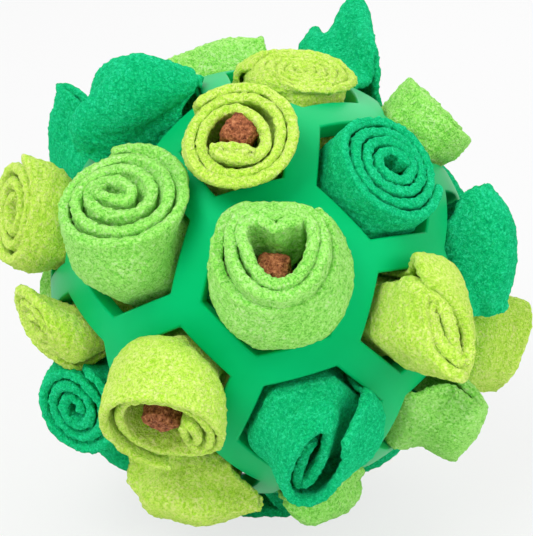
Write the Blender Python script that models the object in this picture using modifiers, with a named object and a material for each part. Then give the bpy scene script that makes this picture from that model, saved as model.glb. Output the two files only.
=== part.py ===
# A treat ball for a dog: a hollow lattice ball of soft rubber, with a strip of fleece rolled up or
# folded over in each of its holes, and dry treats tucked into the middle of some of the rolls.
# Metres, +Z up. The origin is on the floor, straight under the middle of the ball.

import math

import bmesh
import bpy
from mathutils import Euler, Matrix, Vector
from mathutils.bvhtree import BVHTree

# Rubber ball
BALL_RADIUS = 0.060
BALL_WALL = 0.005
RIB_WIDTH = 0.0092
RIM_BEVEL = 0.0012
RIM_BEVEL_ANGLE_DEG = 50
RIB_CUTS = 1
BALL_TURN_DEG = (1, 45, 9)

# Fleece strips
FLEECE = 0.0020
TUCKED_IN = 0.015
STICK_OUT = 0.016
POINTS_PER_TURN = 9

# Treats
TREAT_SIZE = 0.0082
TREAT_ROUNDING = 0.0013

# Clearance between pieces that touch
TOUCH_GAP = 0.0003

# The ball stands on a strip, which keeps the rubber off the floor and is pressed flat by it
OFF_FLOOR = 0.009
FLOOR_PRESS = 0.0005
REST_HEIGHT = BALL_RADIUS + OFF_FLOOR

# Fleece is squeezed where it passes the hole. A roll keeps a narrow hollow there, lies closest on
# its outside and swells over the rim.
SQUEEZED_SHARE = 0.75
NECK_HOLLOW_SHARE = 0.11
NECK_GAP = 0.0010
BULGE_HEIGHT_SHARE = 0.36
NO_RIM_ROW_SHARE = 1.07

RUBBER = ("green_rubber", (0.0, 0.52, 0.20), 0.42)
DARK = ("dark_green_fleece", (0.01, 0.34, 0.13), 0.95)
LIGHT = ("light_green_fleece", (0.22, 0.74, 0.10), 0.95)
LIME = ("lime_fleece", (0.55, 0.88, 0.08), 0.95)
KIBBLE = ("brown_kibble", (0.26, 0.09, 0.04), 0.85)


def clear_scene():
    """Removes what the startup file holds."""
    for obj in list(bpy.data.objects):
        bpy.data.objects.remove(obj)


def collection_called(name):
    """A new collection in the scene."""
    made = bpy.data.collections.new(name)
    bpy.context.scene.collection.children.link(made)
    return made


def material_of(finish):
    """A Principled material for a (name, colour, roughness) finish, made once."""
    name, colour, roughness = finish
    found = bpy.data.materials.get(name)
    if found:
        return found
    made = bpy.data.materials.new(name)
    made.use_nodes = True
    shader = made.node_tree.nodes["Principled BSDF"]
    shader.inputs["Base Color"].default_value = (*colour, 1)
    shader.inputs["Roughness"].default_value = roughness
    shader.inputs["Metallic"].default_value = 0
    return made


def object_from(bm, name, finish, collection):
    """An object of its own from a bmesh, shaded smooth."""
    mesh = bpy.data.meshes.new(name)
    bm.to_mesh(mesh)
    bm.free()
    mesh.shade_smooth()
    obj = bpy.data.objects.new(name, mesh)
    obj.data.materials.append(material_of(finish))
    collection.objects.link(obj)
    return obj


# The rubber ball


def lattice_cage():
    """A truncated icosahedron with its corners on the ball's outer sphere."""
    cage = bmesh.new()
    bmesh.ops.create_icosphere(cage, subdivisions=1, radius=BALL_RADIUS)
    third = cage.edges[:][0].calc_length() / 3
    bmesh.ops.bevel(
        cage,
        geom=list(cage.verts),
        offset=third,
        offset_type="OFFSET",
        affect="VERTICES",
        segments=1,
        profile=0.5,
    )
    for vert in cage.verts:
        vert.co = vert.co.normalized() * BALL_RADIUS
    cage.normal_update()
    return cage


def ball_turn():
    """How the ball lies on the floor."""
    return Euler([math.radians(angle) for angle in BALL_TURN_DEG]).to_matrix()


def make_ball(collection):
    """The lattice: the cage's faces inset by half a rib and opened, then given the wall."""
    cage = lattice_cage()
    openings = list(cage.faces)
    bmesh.ops.inset_individual(
        cage, faces=openings, thickness=RIB_WIDTH / 2, use_even_offset=True
    )
    opened = set(openings)
    rim_verts = {vert for face in openings for vert in face.verts}
    along_ribs = [
        edge
        for edge in cage.edges
        if (edge.verts[0] in rim_verts) == (edge.verts[1] in rim_verts)
    ]
    bmesh.ops.delete(cage, geom=list(opened), context="FACES_ONLY")
    bmesh.ops.subdivide_edges(
        cage, edges=along_ribs, cuts=RIB_CUTS, use_grid_fill=True
    )
    turn = ball_turn()
    for vert in cage.verts:
        vert.co = turn @ vert.co.normalized() * BALL_RADIUS
    ball = object_from(cage, "rubber_ball", RUBBER, collection)
    ball.location.z = REST_HEIGHT
    wall = ball.modifiers.new("wall", "SOLIDIFY")
    wall.thickness = BALL_WALL
    wall.offset = -1
    rounding = ball.modifiers.new("rounded_rims", "BEVEL")
    rounding.width = RIM_BEVEL
    rounding.segments = 1
    rounding.limit_method = "ANGLE"
    rounding.angle_limit = math.radians(RIM_BEVEL_ANGLE_DEG)
    return ball


class Hole:
    """A hole of the lattice: its axis from the ball's middle, and its outer rim."""

    def __init__(self, face, turn):
        centre = face.calc_center_median()
        middle_of_side = (face.verts[0].co + face.verts[1].co) / 2
        inset = (middle_of_side - centre).length - RIB_WIDTH / 2
        to_sphere = BALL_RADIUS / math.hypot(centre.length, inset)
        self.rim_radius = inset * to_sphere
        self.rim_level = centre.length * to_sphere
        self.inner_level = self.rim_level * (BALL_RADIUS - BALL_WALL) / BALL_RADIUS
        self.axis = (turn @ centre).normalized()
        # Seen from outside, local +Y points up the ball and local +X to the right.
        up = (Vector((0, 0, 1)) - self.axis * self.axis.z).normalized()
        turned = Matrix((up.cross(self.axis), up, self.axis)).transposed()
        self.place = Matrix.Translation((0, 0, REST_HEIGHT)) @ turned.to_4x4()
        toward_side = turned.transposed() @ (turn @ middle_of_side)
        side_deg = math.degrees(math.atan2(toward_side.y, toward_side.x))
        sides = len(face.verts)
        self.sides_deg = [side_deg + 360 * side / sides for side in range(sides)]

    def free_radius(self, level):
        """How wide a round plug may be at this level and still pass the hole."""
        return self.rim_radius * level / self.rim_level - TOUCH_GAP

    def nearest_side_deg(self, angle_deg):
        """Which way the middle of the side lies that is nearest to a local direction."""
        return max(
            self.sides_deg, key=lambda side: math.cos(math.radians(side - angle_deg))
        )

    def room(self, start, direction, level):
        """How far a local point may move in a direction before it meets a wall of the hole."""
        found = []
        for side_deg in self.sides_deg:
            angle = math.radians(side_deg)
            normal = Vector((math.cos(angle), math.sin(angle)))
            if direction.dot(normal) > 0:
                found.append(
                    (self.free_radius(level) - start.dot(normal)) / direction.dot(normal)
                )
        return min(found)

    def floor_level(self, x, y, height):
        """The level along the axis where local (x, y) lies at this height over the floor."""
        across = self.place.to_3x3() @ Vector((x, y, 0))
        return (height - REST_HEIGHT - across.z) / self.axis.z


def all_holes():
    """The pentagonal and hexagonal holes of the ball as it lies."""
    cage = lattice_cage()
    turn = ball_turn()
    holes = [Hole(face, turn) for face in cage.faces]
    cage.free()
    return holes


def hole_facing(holes, azimuth_deg, elevation_deg):
    """The hole nearest to a direction. Azimuth 0 is -Y and 90 is +X."""
    azimuth, elevation = math.radians(azimuth_deg), math.radians(elevation_deg)
    level = math.cos(elevation)
    wanted = Vector(
        (level * math.sin(azimuth), -level * math.cos(azimuth), math.sin(elevation))
    )
    return max(holes, key=lambda hole: hole.axis.dot(wanted))


# Fleece strips


def turned_by(x, y, degrees):
    """Local (x, y) turned about the hole's axis."""
    angle = math.radians(degrees)
    cos, sin = math.cos(angle), math.sin(angle)
    return x * cos - y * sin, x * sin + y * cos


def thickness_at(hole, level):
    """The fleece's thickness: squeezed in the hole, and full a little way outside it."""
    past_rim = 2 * (level - hole.rim_level) / STICK_OUT
    share = SQUEEZED_SHARE + (1 - SQUEEZED_SHARE) * min(max(past_rim, 0), 1)
    return FLEECE * share


class Roll:
    """A strip rolled up about the hole's axis, as rows of points that each run round the roll.

    Shares of width are of the hole's rim radius, and shares of height are of STICK_OUT. Where
    treat_hollow_shares are given, the roll is wound round a treat and its hollow is that share of
    the treat's size. The strip's end lies against the side of the hole nearest to end_deg.
    """

    def __init__(
        self,
        turns,
        out_share,
        bulge_shares=(1.0, 1.0),
        edge_shares=(1.0, 1.0),
        hollow_shares=(0.2, 0.2),
        treat_hollow_shares=(),
        hollow_place_shares=(0, 0),
        deep_hollow_share=0.8,
        rise_share=0.1,
        lean_shares=(0, 0),
        slopes=(0, 0),
        long_way_deg=0,
        end_deg=0,
        peak_shares=(),
        neck_shares=(1, 1),
        neck_place_shares=(0, 0),
    ):
        self.turns = turns
        self.out_share = out_share
        self.bulge_shares = bulge_shares
        self.edge_shares = edge_shares
        self.hollow_shares = hollow_shares
        self.treat_hollow_shares = treat_hollow_shares
        self.hollow_place_shares = hollow_place_shares
        self.deep_hollow_share = deep_hollow_share
        self.rise_share = rise_share
        self.lean_shares = lean_shares
        self.slopes = slopes
        self.long_way_deg = long_way_deg
        self.end_deg = end_deg
        self.peak_shares = peak_shares
        self.neck_shares = neck_shares
        self.neck_place_shares = neck_place_shares
        self.apart = POINTS_PER_TURN // 2 + 1

    def hollow_widths(self, hole):
        """The hollow's half-widths at the roll's edge."""
        if self.treat_hollow_shares:
            return [share * TREAT_SIZE for share in self.treat_hollow_shares]
        return [share * hole.rim_radius for share in self.hollow_shares]

    def stations(self, hole):
        """(level, outer half-widths, hollow half-widths, centre, share of the lean) of each row."""
        radius = hole.rim_radius
        found = []
        for level in (hole.rim_level - TUCKED_IN, hole.inner_level, hole.rim_level):
            free = hole.free_radius(max(level, hole.inner_level))
            outer = [share * free for share in self.neck_shares]
            hollow = [NECK_HOLLOW_SHARE * radius * share for share in self.neck_shares]
            centre = [share * free for share in self.neck_place_shares]
            found.append((level, outer, hollow, centre, 0))
        bulge = BULGE_HEIGHT_SHARE
        for along, widths, hollow_share in (
            (bulge, self.bulge_shares, self.deep_hollow_share),
            (1, self.edge_shares, 1),
        ):
            level = hole.rim_level + along * self.out_share * STICK_OUT
            outer = [share * radius for share in widths]
            hollow = [hollow_share * width for width in self.hollow_widths(hole)]
            centre = [
                (neck + along**2 * lean) * radius
                for neck, lean in zip(self.neck_place_shares, self.lean_shares)
            ]
            found.append((level, outer, hollow, centre, along**2))
        sideways = max(abs(lean) for lean in self.lean_shares) * BULGE_HEIGHT_SHARE**2
        if max(self.bulge_shares) + sideways < NO_RIM_ROW_SHARE:
            found.pop(2)
        return found

    def packing(self, outer, hollow, half_fleece):
        """The power that lays the last turn in the neck closest to the turn inside it."""
        span = min(wide - narrow for wide, narrow in zip(outer, hollow)) - 2 * half_fleece
        close = (2 * half_fleece + NECK_GAP) / span
        return min(1, math.log(1 - close) / math.log(1 - 1 / self.turns))

    def rows(self, hole):
        steps = round(self.turns * POINTS_PER_TURN)
        step_deg = 360 / POINTS_PER_TURN
        end_deg = hole.nearest_side_deg(self.end_deg)
        made = []
        for level, outer, hollow, centre, along in self.stations(hole):
            half_fleece = thickness_at(hole, level) / 2
            power = 1 if along else self.packing(outer, hollow, half_fleece)
            row = []
            for step in range(steps + 1):
                share = step / steps
                angle_deg = end_deg - step_deg * (steps - step)
                angle = math.radians(angle_deg)
                inner_x, inner_y = (width + half_fleece for width in hollow)
                outer_x, outer_y = (width - half_fleece for width in outer)
                outward = share**power
                x = (inner_x + (outer_x - inner_x) * outward) * math.cos(angle)
                y = (inner_y + (outer_y - inner_y) * outward) * math.sin(angle)
                x, y = turned_by(x, y, self.long_way_deg)
                x += along * (1 - share) * self.hollow_place_shares[0] * hole.rim_radius
                y += along * (1 - share) * self.hollow_place_shares[1] * hole.rim_radius
                if not along and not any(self.neck_place_shares):
                    seen_deg = angle_deg + self.long_way_deg
                    from_side = math.radians(seen_deg - hole.nearest_side_deg(seen_deg))
                    to_corner = 1 / math.cos(from_side)
                    x, y = x * to_corner, y * to_corner
                rise = self.rise_share * (1 - share) * STICK_OUT
                peak = sum(
                    height * max(0, math.cos(math.radians(angle_deg - place))) ** 3
                    for place, height in self.peak_shares
                )
                slope = self.slopes[0] * x + self.slopes[1] * y
                height = level + along * (rise + slope + peak * STICK_OUT)
                row.append(Vector((centre[0] + x, centre[1] + y, height)))
            made.append(row)
        return made

    def hollow_line(self, hole):
        """The middle of the hollow at the bulge and at the edge."""
        aside = [share * hole.rim_radius for share in self.hollow_place_shares]
        return [
            Vector((centre[0] + along * aside[0], centre[1] + along * aside[1], level))
            for level, _, _, centre, along in self.stations(hole)
            if along
        ]


class Fold:
    """A strip folded over, with its fold outside, as rows that each run up, over and down again.

    path_shares are (place across the fold, height) pairs. Height -1 is the tucked-in edge, 0 the
    rim, and above it a share of the fold's own height. crest_shares scale the height along the fold.
    """

    def __init__(
        self,
        path_shares,
        out_share,
        wide_share=1.1,
        crest_shares=(0.9, 1.0, 1.0, 0.9),
        lean_shares=(0, 0),
        spread_share=1.0,
        turned_deg=0,
        stands_on_floor=False,
    ):
        self.path_shares = path_shares
        self.out_share = out_share
        self.wide_share = wide_share
        self.crest_shares = crest_shares
        self.lean_shares = lean_shares
        self.spread_share = spread_share
        self.turned_deg = turned_deg
        self.stands_on_floor = stands_on_floor
        self.apart = len(path_shares) // 3 + 1

    def rows(self, hole):
        columns = len(self.crest_shares)
        made = []
        for column, crest_share in enumerate(self.crest_shares):
            along_fold = 2 * column / (columns - 1) - 1
            made.append(
                [
                    self.point(hole, across, height, along_fold, crest_share)
                    for across, height in self.path_shares
                ]
            )
        return made

    def point(self, hole, across_share, height_share, along_fold, crest_share):
        radius = hole.rim_radius
        level = hole.rim_level + min(height_share, 0) * TUCKED_IN
        x = across_share * hole.free_radius(level)
        half_fleece = thickness_at(hole, level) / 2
        direction = Vector(turned_by(0, math.copysign(1, along_fold), self.turned_deg))
        room = min(
            hole.room(Vector(turned_by(face_x, 0, self.turned_deg)), direction, level)
            for face_x in (x - half_fleece, x + half_fleece)
        )
        if height_share <= 0:
            x, y = turned_by(x, along_fold * room, self.turned_deg)
            return Vector((x, y, level))
        opening = min(2 * height_share, 1)
        half_width = room + (self.wide_share * radius - room) * opening
        x = across_share * self.spread_share * radius
        x, y = turned_by(x, along_fold * half_width, self.turned_deg)
        x += self.lean_shares[0] * height_share * radius
        y += self.lean_shares[1] * height_share * radius
        level = hole.rim_level + height_share * crest_share * self.out_share * STICK_OUT
        if self.stands_on_floor:
            lowest = FLEECE / 2 - FLOOR_PRESS
            level = min(level, hole.floor_level(x, y, lowest))
        return Vector((x, y, level))


def strip_object(name, finish, hole, shape, collection):
    """A strip as cut, a flat grid, bent to its shape and given the fleece's thickness."""
    rows = shape.rows(hole)
    across, along = len(rows) - 1, len(rows[0]) - 1
    sheet = bmesh.new()
    bmesh.ops.create_grid(sheet, x_segments=along, y_segments=across, size=1)
    pressed = []
    for vert in sheet.verts:
        row = round((vert.co.y + 1) / 2 * across)
        step = round((vert.co.x + 1) / 2 * along)
        vert.co = rows[row][step]
        pressed.append(thickness_at(hole, vert.co.z) / FLEECE)
    obj = object_from(sheet, name, finish, collection)
    obj.matrix_world = hole.place
    group = obj.vertex_groups.new(name="pressed")
    for index, share in enumerate(pressed):
        group.add([index], share, "REPLACE")
    fleece = obj.modifiers.new("fleece", "SOLIDIFY")
    fleece.thickness = FLEECE
    fleece.offset = 0
    fleece.vertex_group = group.name
    return obj


def cut_flat(obj, floor):
    """What the ball stands on is pressed flat by the floor."""
    flat = obj.modifiers.new("pressed_flat", "BOOLEAN")
    flat.operation = "DIFFERENCE"
    flat.object = floor


def floor_block(collection):
    """A helper that fills the space under the floor."""
    block = bmesh.new()
    bmesh.ops.create_cube(block, size=2 * BALL_RADIUS)
    bmesh.ops.translate(block, verts=block.verts, vec=(0, 0, -BALL_RADIUS))
    obj = object_from(block, "floor_cutter", RUBBER, collection)
    obj.hide_render = True
    obj.display_type = "WIRE"
    return obj


def least_self_gap(hole, shape):
    """The least space between a strip's fleece and itself half a turn or more away."""
    rows = shape.rows(hole)
    steps = range(len(rows[0]) - 1)
    least = math.inf
    for here in steps:
        corners, faces = [], []
        for there in steps:
            if there - here < shape.apart:
                continue
            for low, high in zip(rows, rows[1:]):
                quad = (low[there], low[there + 1], high[there + 1], high[there])
                faces.append(range(len(corners), len(corners) + len(quad)))
                corners.extend(quad)
        if not faces:
            break
        rest = BVHTree.FromPolygons(corners, faces)
        for row in rows:
            near, _, _, distance = rest.find_nearest(row[here])
            thick = (thickness_at(hole, row[here].z) + thickness_at(hole, near.z)) / 2
            least = min(least, distance - thick)
    return least


def flat_length(hole, shape):
    """The strip's length before it was rolled or folded, at the middle of its width."""
    rows = shape.rows(hole)
    row = rows[len(rows) // 2]
    return sum((end - start).length for start, end in zip(row, row[1:]))


class CloseRoll:
    """A roll whose turns lie against each other, as one round sleeve about its hollow.

    Its shares are as in a Roll, the same all round.
    """

    def __init__(self, turns, out_share, bulge_share=1.0, edge_share=1.0):
        self.turns = turns
        self.out_share = out_share
        self.bulge_share = bulge_share
        self.edge_share = edge_share

    def outline(self, hole):
        """The sleeve's cut face on one side of the axis, as (level, width) pairs all round."""
        out = self.out_share * STICK_OUT
        neck = hole.free_radius(hole.inner_level) - TOUCH_GAP
        outside = (
            (hole.rim_level - TUCKED_IN, neck),
            (hole.inner_level, neck),
            (hole.rim_level, hole.free_radius(hole.rim_level) - TOUCH_GAP),
            (hole.rim_level + BULGE_HEIGHT_SHARE * out, self.bulge_share * hole.rim_radius),
            (hole.rim_level + out, self.edge_share * hole.rim_radius),
        )
        inside = [
            (level, width - self.turns * thickness_at(hole, level))
            for level, width in reversed(outside)
        ]
        return (*outside, *inside)


def close_roll_object(name, finish, hole, shape, collection):
    """A close roll's cut face, spun about the hole's axis."""
    start = math.radians(hole.sides_deg[0])
    toward_side = Vector((math.cos(start), math.sin(start), 0))
    sleeve = bmesh.new()
    verts = [
        sleeve.verts.new(toward_side * width + Vector((0, 0, level)))
        for level, width in shape.outline(hole)
    ]
    edges = [sleeve.edges.new(pair) for pair in zip(verts, verts[1:] + verts[:1])]
    bmesh.ops.spin(
        sleeve,
        geom=verts + edges,
        cent=(0, 0, 0),
        axis=(0, 0, 1),
        angle=math.tau,
        steps=2 * len(hole.sides_deg),
        use_merge=True,
    )
    bmesh.ops.recalc_face_normals(sleeve, faces=sleeve.faces)
    obj = object_from(sleeve, name, finish, collection)
    obj.matrix_world = hole.place
    return obj


U_PATH_SHARES = (
    (-0.34, -1),
    (-0.34, 0),
    (-0.40, 0.45),
    (-0.30, 0.86),
    (0, 1),
    (0.30, 0.86),
    (0.40, 0.45),
    (0.34, 0),
    (0.34, -1),
)
FLAT_U_PATH_SHARES = (
    (-0.46, -1),
    (-0.46, 0),
    (-0.66, 0.5),
    (-0.50, 1.3),
    (0, 1.3),
    (0.50, 1.3),
    (0.66, 0.6),
    (0.46, 0),
    (0.46, -1),
)
M_PATH_SHARES = (
    (-0.60, -1),
    (-0.60, 0),
    (-0.72, 0.55),
    (-0.55, 1),
    (-0.30, 0.9),
    (-0.12, 0.35),
    (0.08, 0.30),
    (0.20, 0.75),
    (0.42, 0.9),
    (0.66, 0.55),
    (0.56, 0),
    (0.56, -1),
)

# Each strip: its name, finish, where its hole faces (azimuth, elevation) and its shape
STRIPS = (
    (
        "light_roll_front",
        LIGHT,
        (3, 20),
        Roll(
            turns=2.5,
            deep_hollow_share=0.98,
            out_share=0.95,
            bulge_shares=(1.14, 1.12),
            edge_shares=(0.98, 0.92),
            treat_hollow_shares=(0.71, 0.73),
            rise_share=0.30,
            lean_shares=(-0.12, 0.46),
            slopes=(0, -0.5),
            end_deg=60,
        ),
    ),
    (
        "lime_roll_upper_front",
        LIME,
        (-12, 55),
        Roll(
            turns=2.25,
            deep_hollow_share=0.98,
            out_share=0.75,
            bulge_shares=(1.30, 1.26),
            edge_shares=(1.34, 1.26),
            treat_hollow_shares=(0.705, 0.69),
            hollow_place_shares=(0, 0.14),
            rise_share=0.12,
            lean_shares=(0.24, -0.40),
            slopes=(0, 0.15),
            end_deg=130,
        ),
    ),
    (
        "lime_roll_lower_left",
        LIME,
        (-23, -8),
        Roll(
            turns=2.25,
            deep_hollow_share=0.98,
            out_share=0.95,
            bulge_shares=(1.34, 1.48),
            edge_shares=(1.34, 1.22),
            treat_hollow_shares=(0.69, 0.675),
            hollow_place_shares=(-0.18, 0),
            rise_share=-0.1,
            lean_shares=(0.24, -0.6),
            slopes=(-0.2, 0.42),
            end_deg=-75,
        ),
    ),
    (
        "light_roll_left",
        LIGHT,
        (-42, 25),
        Roll(
            turns=3,
            out_share=0.8,
            bulge_shares=(1.02, 1.02),
            edge_shares=(0.98, 0.92),
            hollow_shares=(0.28, 0.16),
            rise_share=0.3,
            lean_shares=(0.26, 0.66),
            slopes=(-0.3, -0.55),
            long_way_deg=10,
            end_deg=100,
        ),
    ),
    (
        "dark_roll_upper_right",
        DARK,
        (44, 43),
        Roll(
            turns=2.75,
            out_share=0.45,
            bulge_shares=(1.0, 1.0),
            edge_shares=(0.96, 0.96),
            hollow_shares=(0.2, 0.2),
            rise_share=0.35,
            end_deg=300,
        ),
    ),
    (
        "lime_bud_right",
        LIME,
        (39, 6),
        Roll(
            turns=2,
            out_share=1.0,
            bulge_shares=(1.34, 1.40),
            edge_shares=(0.90, 1.15),
            hollow_shares=(0.30, 0.48),
            rise_share=0,
            lean_shares=(0.15, -0.2),
            slopes=(-0.35, -0.1),
            end_deg=60,
            peak_shares=((-70, 0.3),),
        ),
    ),
    (
        "dark_bud_lower_front",
        DARK,
        (13, -21),
        Roll(
            turns=1.75,
            out_share=0.95,
            bulge_shares=(1.03, 1.03),
            edge_shares=(0.70, 0.90),
            hollow_shares=(0.10, 0.28),
            rise_share=-0.2,
            lean_shares=(-0.35, -0.22),
            slopes=(0.1, 0.3),
            end_deg=40,
        ),
    ),
    (
        "lime_roll_top",
        LIME,
        (92, 82),
        Roll(
            turns=3.75,
            out_share=0.3,
            bulge_shares=(0.98, 0.98),
            edge_shares=(0.92, 0.92),
            hollow_shares=(0.05, 0.05),
            rise_share=0.1,
            lean_shares=(-0.15, -0.2),
            slopes=(0.15, 0),
            end_deg=90,
        ),
    ),
    (
        "dark_roll_left_low",
        DARK,
        (-60, -13),
        Roll(
            turns=1.75,
            out_share=0.44,
            bulge_shares=(1.0, 0.5),
            edge_shares=(0.84, 0.86),
            hollow_shares=(0.12, 0.14),
            rise_share=0.1,
            lean_shares=(0.34, -0.14),
            slopes=(-0.1, 0.1),
            end_deg=270,
            neck_shares=(0.82, 0.48),
            neck_place_shares=(0, -0.495),
        ),
    ),
    (
        "lime_roll_left_middle",
        LIME,
        (-60, -13),
        Roll(
            turns=1.75,
            out_share=0.62,
            bulge_shares=(1.0, 0.5),
            edge_shares=(0.66, 0.72),
            hollow_shares=(0.06, 0.08),
            rise_share=0.15,
            lean_shares=(-0.08, 0.48),
            slopes=(-0.1, 0.1),
            end_deg=280,
            neck_shares=(0.82, 0.48),
            neck_place_shares=(0, 0.495),
        ),
    ),
    (
        "lime_roll_left_upper",
        LIME,
        (-81, 18),
        Roll(
            turns=2.25,
            out_share=1.0,
            bulge_shares=(1.20, 1.34),
            edge_shares=(1.05, 1.34),
            hollow_shares=(0.2, 0.3),
            rise_share=0,
            lean_shares=(0, 0.1),
            slopes=(-0.4, 0.1),
            end_deg=90,
        ),
    ),
    (
        "dark_petals_upper_left",
        DARK,
        (-80, 56),
        Fold(
            M_PATH_SHARES,
            out_share=0.85,
            wide_share=1.12,
            crest_shares=(0.8, 1.0, 1.0, 0.4),
            turned_deg=-18,
        ),
    ),
    (
        "dark_flap_back_left",
        DARK,
        (-121, 26),
        Fold(
            U_PATH_SHARES,
            out_share=1.3,
            wide_share=0.95,
            crest_shares=(0.75, 0.95, 1.1, 1.15),
            turned_deg=-20,
        ),
    ),
    (
        "light_fold_top_back",
        LIGHT,
        (-151, 57),
        Fold(
            U_PATH_SHARES,
            out_share=0.72,
            wide_share=1.5,
            crest_shares=(0.9, 1.05, 1.05, 0.8),
            turned_deg=60,
        ),
    ),
    (
        "dark_peak_back",
        DARK,
        (151, 45),
        Fold(
            U_PATH_SHARES,
            out_share=1.6,
            wide_share=0.8,
            crest_shares=(1.0, 0.98, 1.42, 1.0, 0.6),
            lean_shares=(0.05, 0.3),
            turned_deg=75,
        ),
    ),
    (
        "light_roll_right_upper",
        LIGHT,
        (98, 45),
        Roll(
            turns=1.75,
            out_share=0.65,
            bulge_shares=(1.2, 1.2),
            edge_shares=(1.15, 1.15),
            hollow_shares=(0.3, 0.3),
        ),
    ),
    (
        "dark_fold_right",
        DARK,
        (77, 12),
        Fold(
            U_PATH_SHARES,
            lean_shares=(0, 0.1),
            out_share=0.8,
            wide_share=0.95,
            crest_shares=(0.65, 1.0, 1.1, 0.75),
            turned_deg=-4,
            spread_share=1.2,
        ),
    ),
    (
        "lime_roll_far_right",
        LIME,
        (99, -18),
        Roll(
            turns=1.75,
            out_share=1.15,
            bulge_shares=(1.2, 1.42),
            edge_shares=(0.95, 1.3),
            hollow_shares=(0.2, 0.3),
            lean_shares=(0, 0.1),
        ),
    ),
    (
        "light_flap_lower_right",
        LIGHT,
        (59, -26),
        Fold(
            U_PATH_SHARES,
            out_share=0.95,
            wide_share=0.85,
            crest_shares=(0.75, 1.1, 1.1, 0.95),
            turned_deg=25,
        ),
    ),
    (
        "light_fold_under_front",
        LIGHT,
        (29, -57),
        Fold(
            U_PATH_SHARES,
            out_share=0.6,
            wide_share=1.15,
            crest_shares=(0.8, 1.1, 1.1, 0.7),
            turned_deg=70,
        ),
    ),
    (
        "lime_petal_lower_left",
        LIME,
        (-28, -45),
        Fold(
            U_PATH_SHARES,
            lean_shares=(0.15, -0.1),
            out_share=0.9,
            wide_share=1.0,
            crest_shares=(0.7, 1.1, 1.2, 0.75),
            turned_deg=75,
        ),
    ),
    (
        "dark_fold_lower_left",
        DARK,
        (-82, -45),
        Fold(
            U_PATH_SHARES,
            out_share=0.6,
            wide_share=1.0,
            turned_deg=20,
        ),
    ),
    (
        "dark_fold_bottom",
        DARK,
        (-87, -82),
        Fold(
            FLAT_U_PATH_SHARES,
            out_share=0.7,
            wide_share=0.72,
            crest_shares=(1, 1, 1, 1),
            stands_on_floor=True,
            lean_shares=(0, -0.44),
            turned_deg=90,
        ),
    ),
)

# The rolls on the far side
CLOSE_ROLLS = (
    ("light_roll_left_back", LIGHT, (-103, -12), CloseRoll(turns=2, out_share=0.35)),
    ("lime_roll_back_low_left", LIME, (-135, -43), CloseRoll(turns=2, out_share=0.6)),
    (
        "dark_roll_low_right",
        DARK,
        (100, -56),
        CloseRoll(turns=2, out_share=0.3, edge_share=0.9),
    ),
    (
        "light_roll_low_back",
        LIGHT,
        (168, -55),
        CloseRoll(turns=2, out_share=0.92, bulge_share=1.2, edge_share=1.1),
    ),
    ("dark_roll_back", DARK, (-177, -20), CloseRoll(turns=2, out_share=0.9)),
    ("lime_roll_back_right", LIME, (138, -25), CloseRoll(turns=2, out_share=0.9)),
    ("light_roll_back_upper", LIGHT, (-166, 21), CloseRoll(turns=2, out_share=0.9)),
    (
        "lime_bud_back_left",
        LIME,
        (-141, -6),
        CloseRoll(turns=2, out_share=0.9, bulge_share=1.2, edge_share=1.1),
    ),
    (
        "lime_roll_back_middle",
        LIME,
        (157, 8),
        CloseRoll(turns=2, out_share=0.9, bulge_share=1.2, edge_share=1.1),
    ),
    ("dark_roll_right_back", DARK, (120, 13), CloseRoll(turns=2, out_share=0.3)),
)

# What the ball stands on
STANDS_ON = "dark_fold_bottom"

# Each treat: its name, the roll that holds it, its place along the hollow from the bulge to the
# edge, how far it lies aside as a share of its own size, and which way
TREATS = (
    ("treat_front", "light_roll_front", 0.35, 0.17, 260),
    ("treat_upper_front", "lime_roll_upper_front", 0.6, 0.02, 330),
    ("treat_lower_left", "lime_roll_lower_left", 0.45, 0.0, 125),
)


def make_treat(name, hole, shape, along_share, aside_share, aside_deg, collection):
    """A dry treat, a rounded cube that the roll's inner turn holds."""
    cube = bmesh.new()
    bmesh.ops.create_cube(cube, size=TREAT_SIZE)
    obj = object_from(cube, name, KIBBLE, collection)
    low, high = shape.hollow_line(hole)
    place = low.lerp(high, along_share)
    tilt = Vector((0, 0, 1)).rotation_difference(high - low).to_matrix().to_4x4()
    spin = Matrix.Rotation(math.radians(aside_deg), 4, "Z")
    aside = Matrix.Translation((aside_share * TREAT_SIZE, 0, 0))
    obj.matrix_world = hole.place @ Matrix.Translation(place) @ tilt @ spin @ aside
    rounding = obj.modifiers.new("rounded_edges", "BEVEL")
    rounding.width = TREAT_ROUNDING
    rounding.segments = 1
    return obj


def main():
    clear_scene()
    collection = collection_called("treat_ball")
    cutters = collection_called("cutters")
    floor = floor_block(cutters)
    make_ball(collection)
    holes = all_holes()
    placed = {}
    least = math.inf
    for name, finish, facing, shape in STRIPS:
        hole = hole_facing(holes, *facing)
        strip = strip_object(name, finish, hole, shape, collection)
        placed[name] = (hole, shape)
        if name == STANDS_ON:
            cut_flat(strip, floor)
        gap = least_self_gap(hole, shape)
        least = min(least, gap)
        length = flat_length(hole, shape)
        print(f"{name}: {1000 * length:.0f} mm long when flat, {1000 * gap:.2f} mm from itself")
    print(f"least gap of a strip to itself: {1000 * least:.2f} mm")
    for name, finish, facing, shape in CLOSE_ROLLS:
        close_roll_object(name, finish, hole_facing(holes, *facing), shape, collection)
    for name, roll, along_share, aside_share, aside_deg in TREATS:
        make_treat(name, *placed[roll], along_share, aside_share, aside_deg, collection)


main()
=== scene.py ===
import math

import bmesh
import bpy
import numpy as np
from mathutils import Euler, Matrix, Vector


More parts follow.
